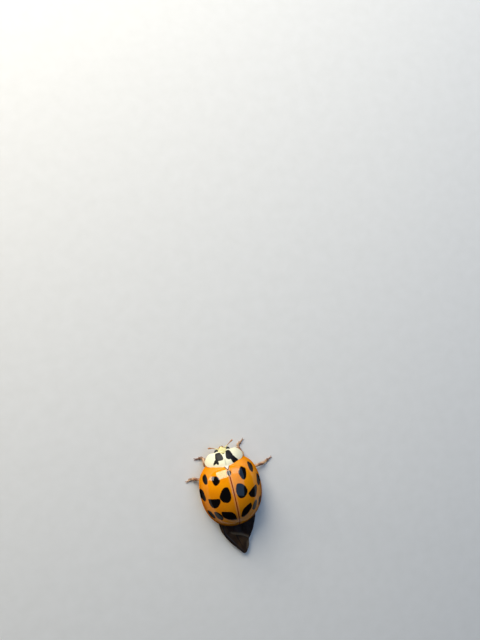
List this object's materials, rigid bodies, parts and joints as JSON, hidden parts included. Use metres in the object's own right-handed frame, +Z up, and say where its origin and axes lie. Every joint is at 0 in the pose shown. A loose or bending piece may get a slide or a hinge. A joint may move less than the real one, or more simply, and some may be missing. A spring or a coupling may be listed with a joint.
{
  "type": "harlequin ladybird model",
  "caption": "Still, life-size spotted ladybird beetle standing with closed wing cases and the tips of its folded hind wings showing behind.",
  "frame": {"origin": "on the floor, under the middle of the whole figure seen from above", "axes": "+Z up, -Y the way the head points, +X the animal's left side"},
  "size_m": [0.0082, 0.0106, 0.0032],
  "materials": {
    "wing_case": "glossy orange shell with black spots",
    "neck_shield": "glossy cream shell with black marks",
    "scutellum": "satin pale plate with a dark edge",
    "face": "satin pale yellow shell",
    "eye": "glossy black, finely faceted",
    "limb": "satin amber brown shell",
    "underside": "satin dark brown plates",
    "abdomen": "satin brown plates with paler edges",
    "hind_wing": "thin smoky brown membrane with darker veins"
  },
  "bodies": {
    "root": {"elytron_left": "wing_case", "elytron_right": "wing_case", "scutellum": "scutellum", "pronotum": "neck_shield", "prosternum": "limb", "thorax": "underside", "abdomen": "abdomen", "head": "face", "upper_lip": "face", "eye_left": "eye", "eye_right": "eye", "antenna_left": "limb", "antenna_right": "limb", "palp_left": "limb", "palp_right": "limb", "leg_front_left_femur": "limb", "leg_front_left_tibia": "limb", "leg_front_left_tarsus": "limb", "leg_front_right_femur": "limb", "leg_front_right_tibia": "limb", "leg_front_right_tarsus": "limb", "leg_middle_left_femur": "limb", "leg_middle_left_tibia": "limb", "leg_middle_left_tarsus": "limb", "leg_middle_right_femur": "limb", "leg_middle_right_tibia": "limb", "leg_middle_right_tarsus": "limb", "leg_hind_left_femur": "limb", "leg_hind_left_tibia": "limb", "leg_hind_left_tarsus": "limb", "leg_hind_right_femur": "limb", "leg_hind_right_tibia": "limb", "leg_hind_right_tarsus": "limb", "hindwing_left": "hind_wing", "hindwing_right": "hind_wing"}
  },
  "joints": []
}
